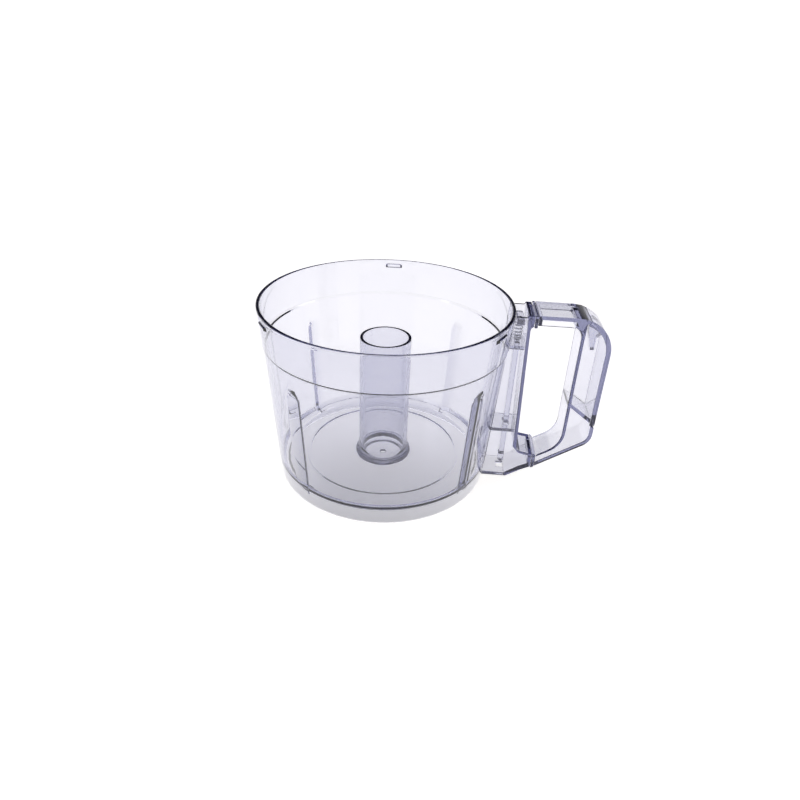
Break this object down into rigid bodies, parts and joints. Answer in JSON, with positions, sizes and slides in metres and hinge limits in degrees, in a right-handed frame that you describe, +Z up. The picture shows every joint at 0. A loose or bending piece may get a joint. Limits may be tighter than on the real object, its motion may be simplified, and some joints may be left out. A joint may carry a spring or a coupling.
{
  "type": "food processor work bowl",
  "caption": "Clear tapered work bowl with a centre shaft tube, stirring ribs, a hollow D handle and a spring-loaded interlock rod in a wall housing.",
  "frame": {"origin": "middle of the bounding box's footprint, on the plane that the foot ring rests on", "axes": "+Z up, +X from the bowl's axis to the handle, +Y to the handle's left seen from the bowl"},
  "size_m": [0.2676, 0.1964, 0.1468],
  "materials": {
    "bowl_clear": "clear polished plastic with a faint violet tint",
    "handle_clear": "clear polished plastic, nearly colourless",
    "rod_clear": "clear moulded plastic",
    "spring_steel": "drawn stainless wire"
  },
  "bodies": {
    "bowl": {"bowl_body": "bowl_clear", "shaft_tube": "bowl_clear", "rod_housing": "bowl_clear", "rod_top_guide": "rod_clear", "rod_low_guide": "rod_clear", "housing_bottom_cap": "bowl_clear", "handle_shell": "handle_clear", "grip_cover": "handle_clear", "handle_top_collar": "handle_clear", "handle_low_collar": "handle_clear"},
    "rod": {"interlock_rod": "rod_clear", "rod_head": "rod_clear", "rod_tip": "rod_clear", "rod_spring": "spring_steel"}
  },
  "joints": [
    {"name": "interlock_press", "type": "slide", "parent": "bowl", "child": "rod", "axis": [0, 0, -1], "range_m": [0, 0.007], "stiffness_N_per_m": 150, "springref_m": -0.01, "deforming": ["rod_spring"]}
  ]
}
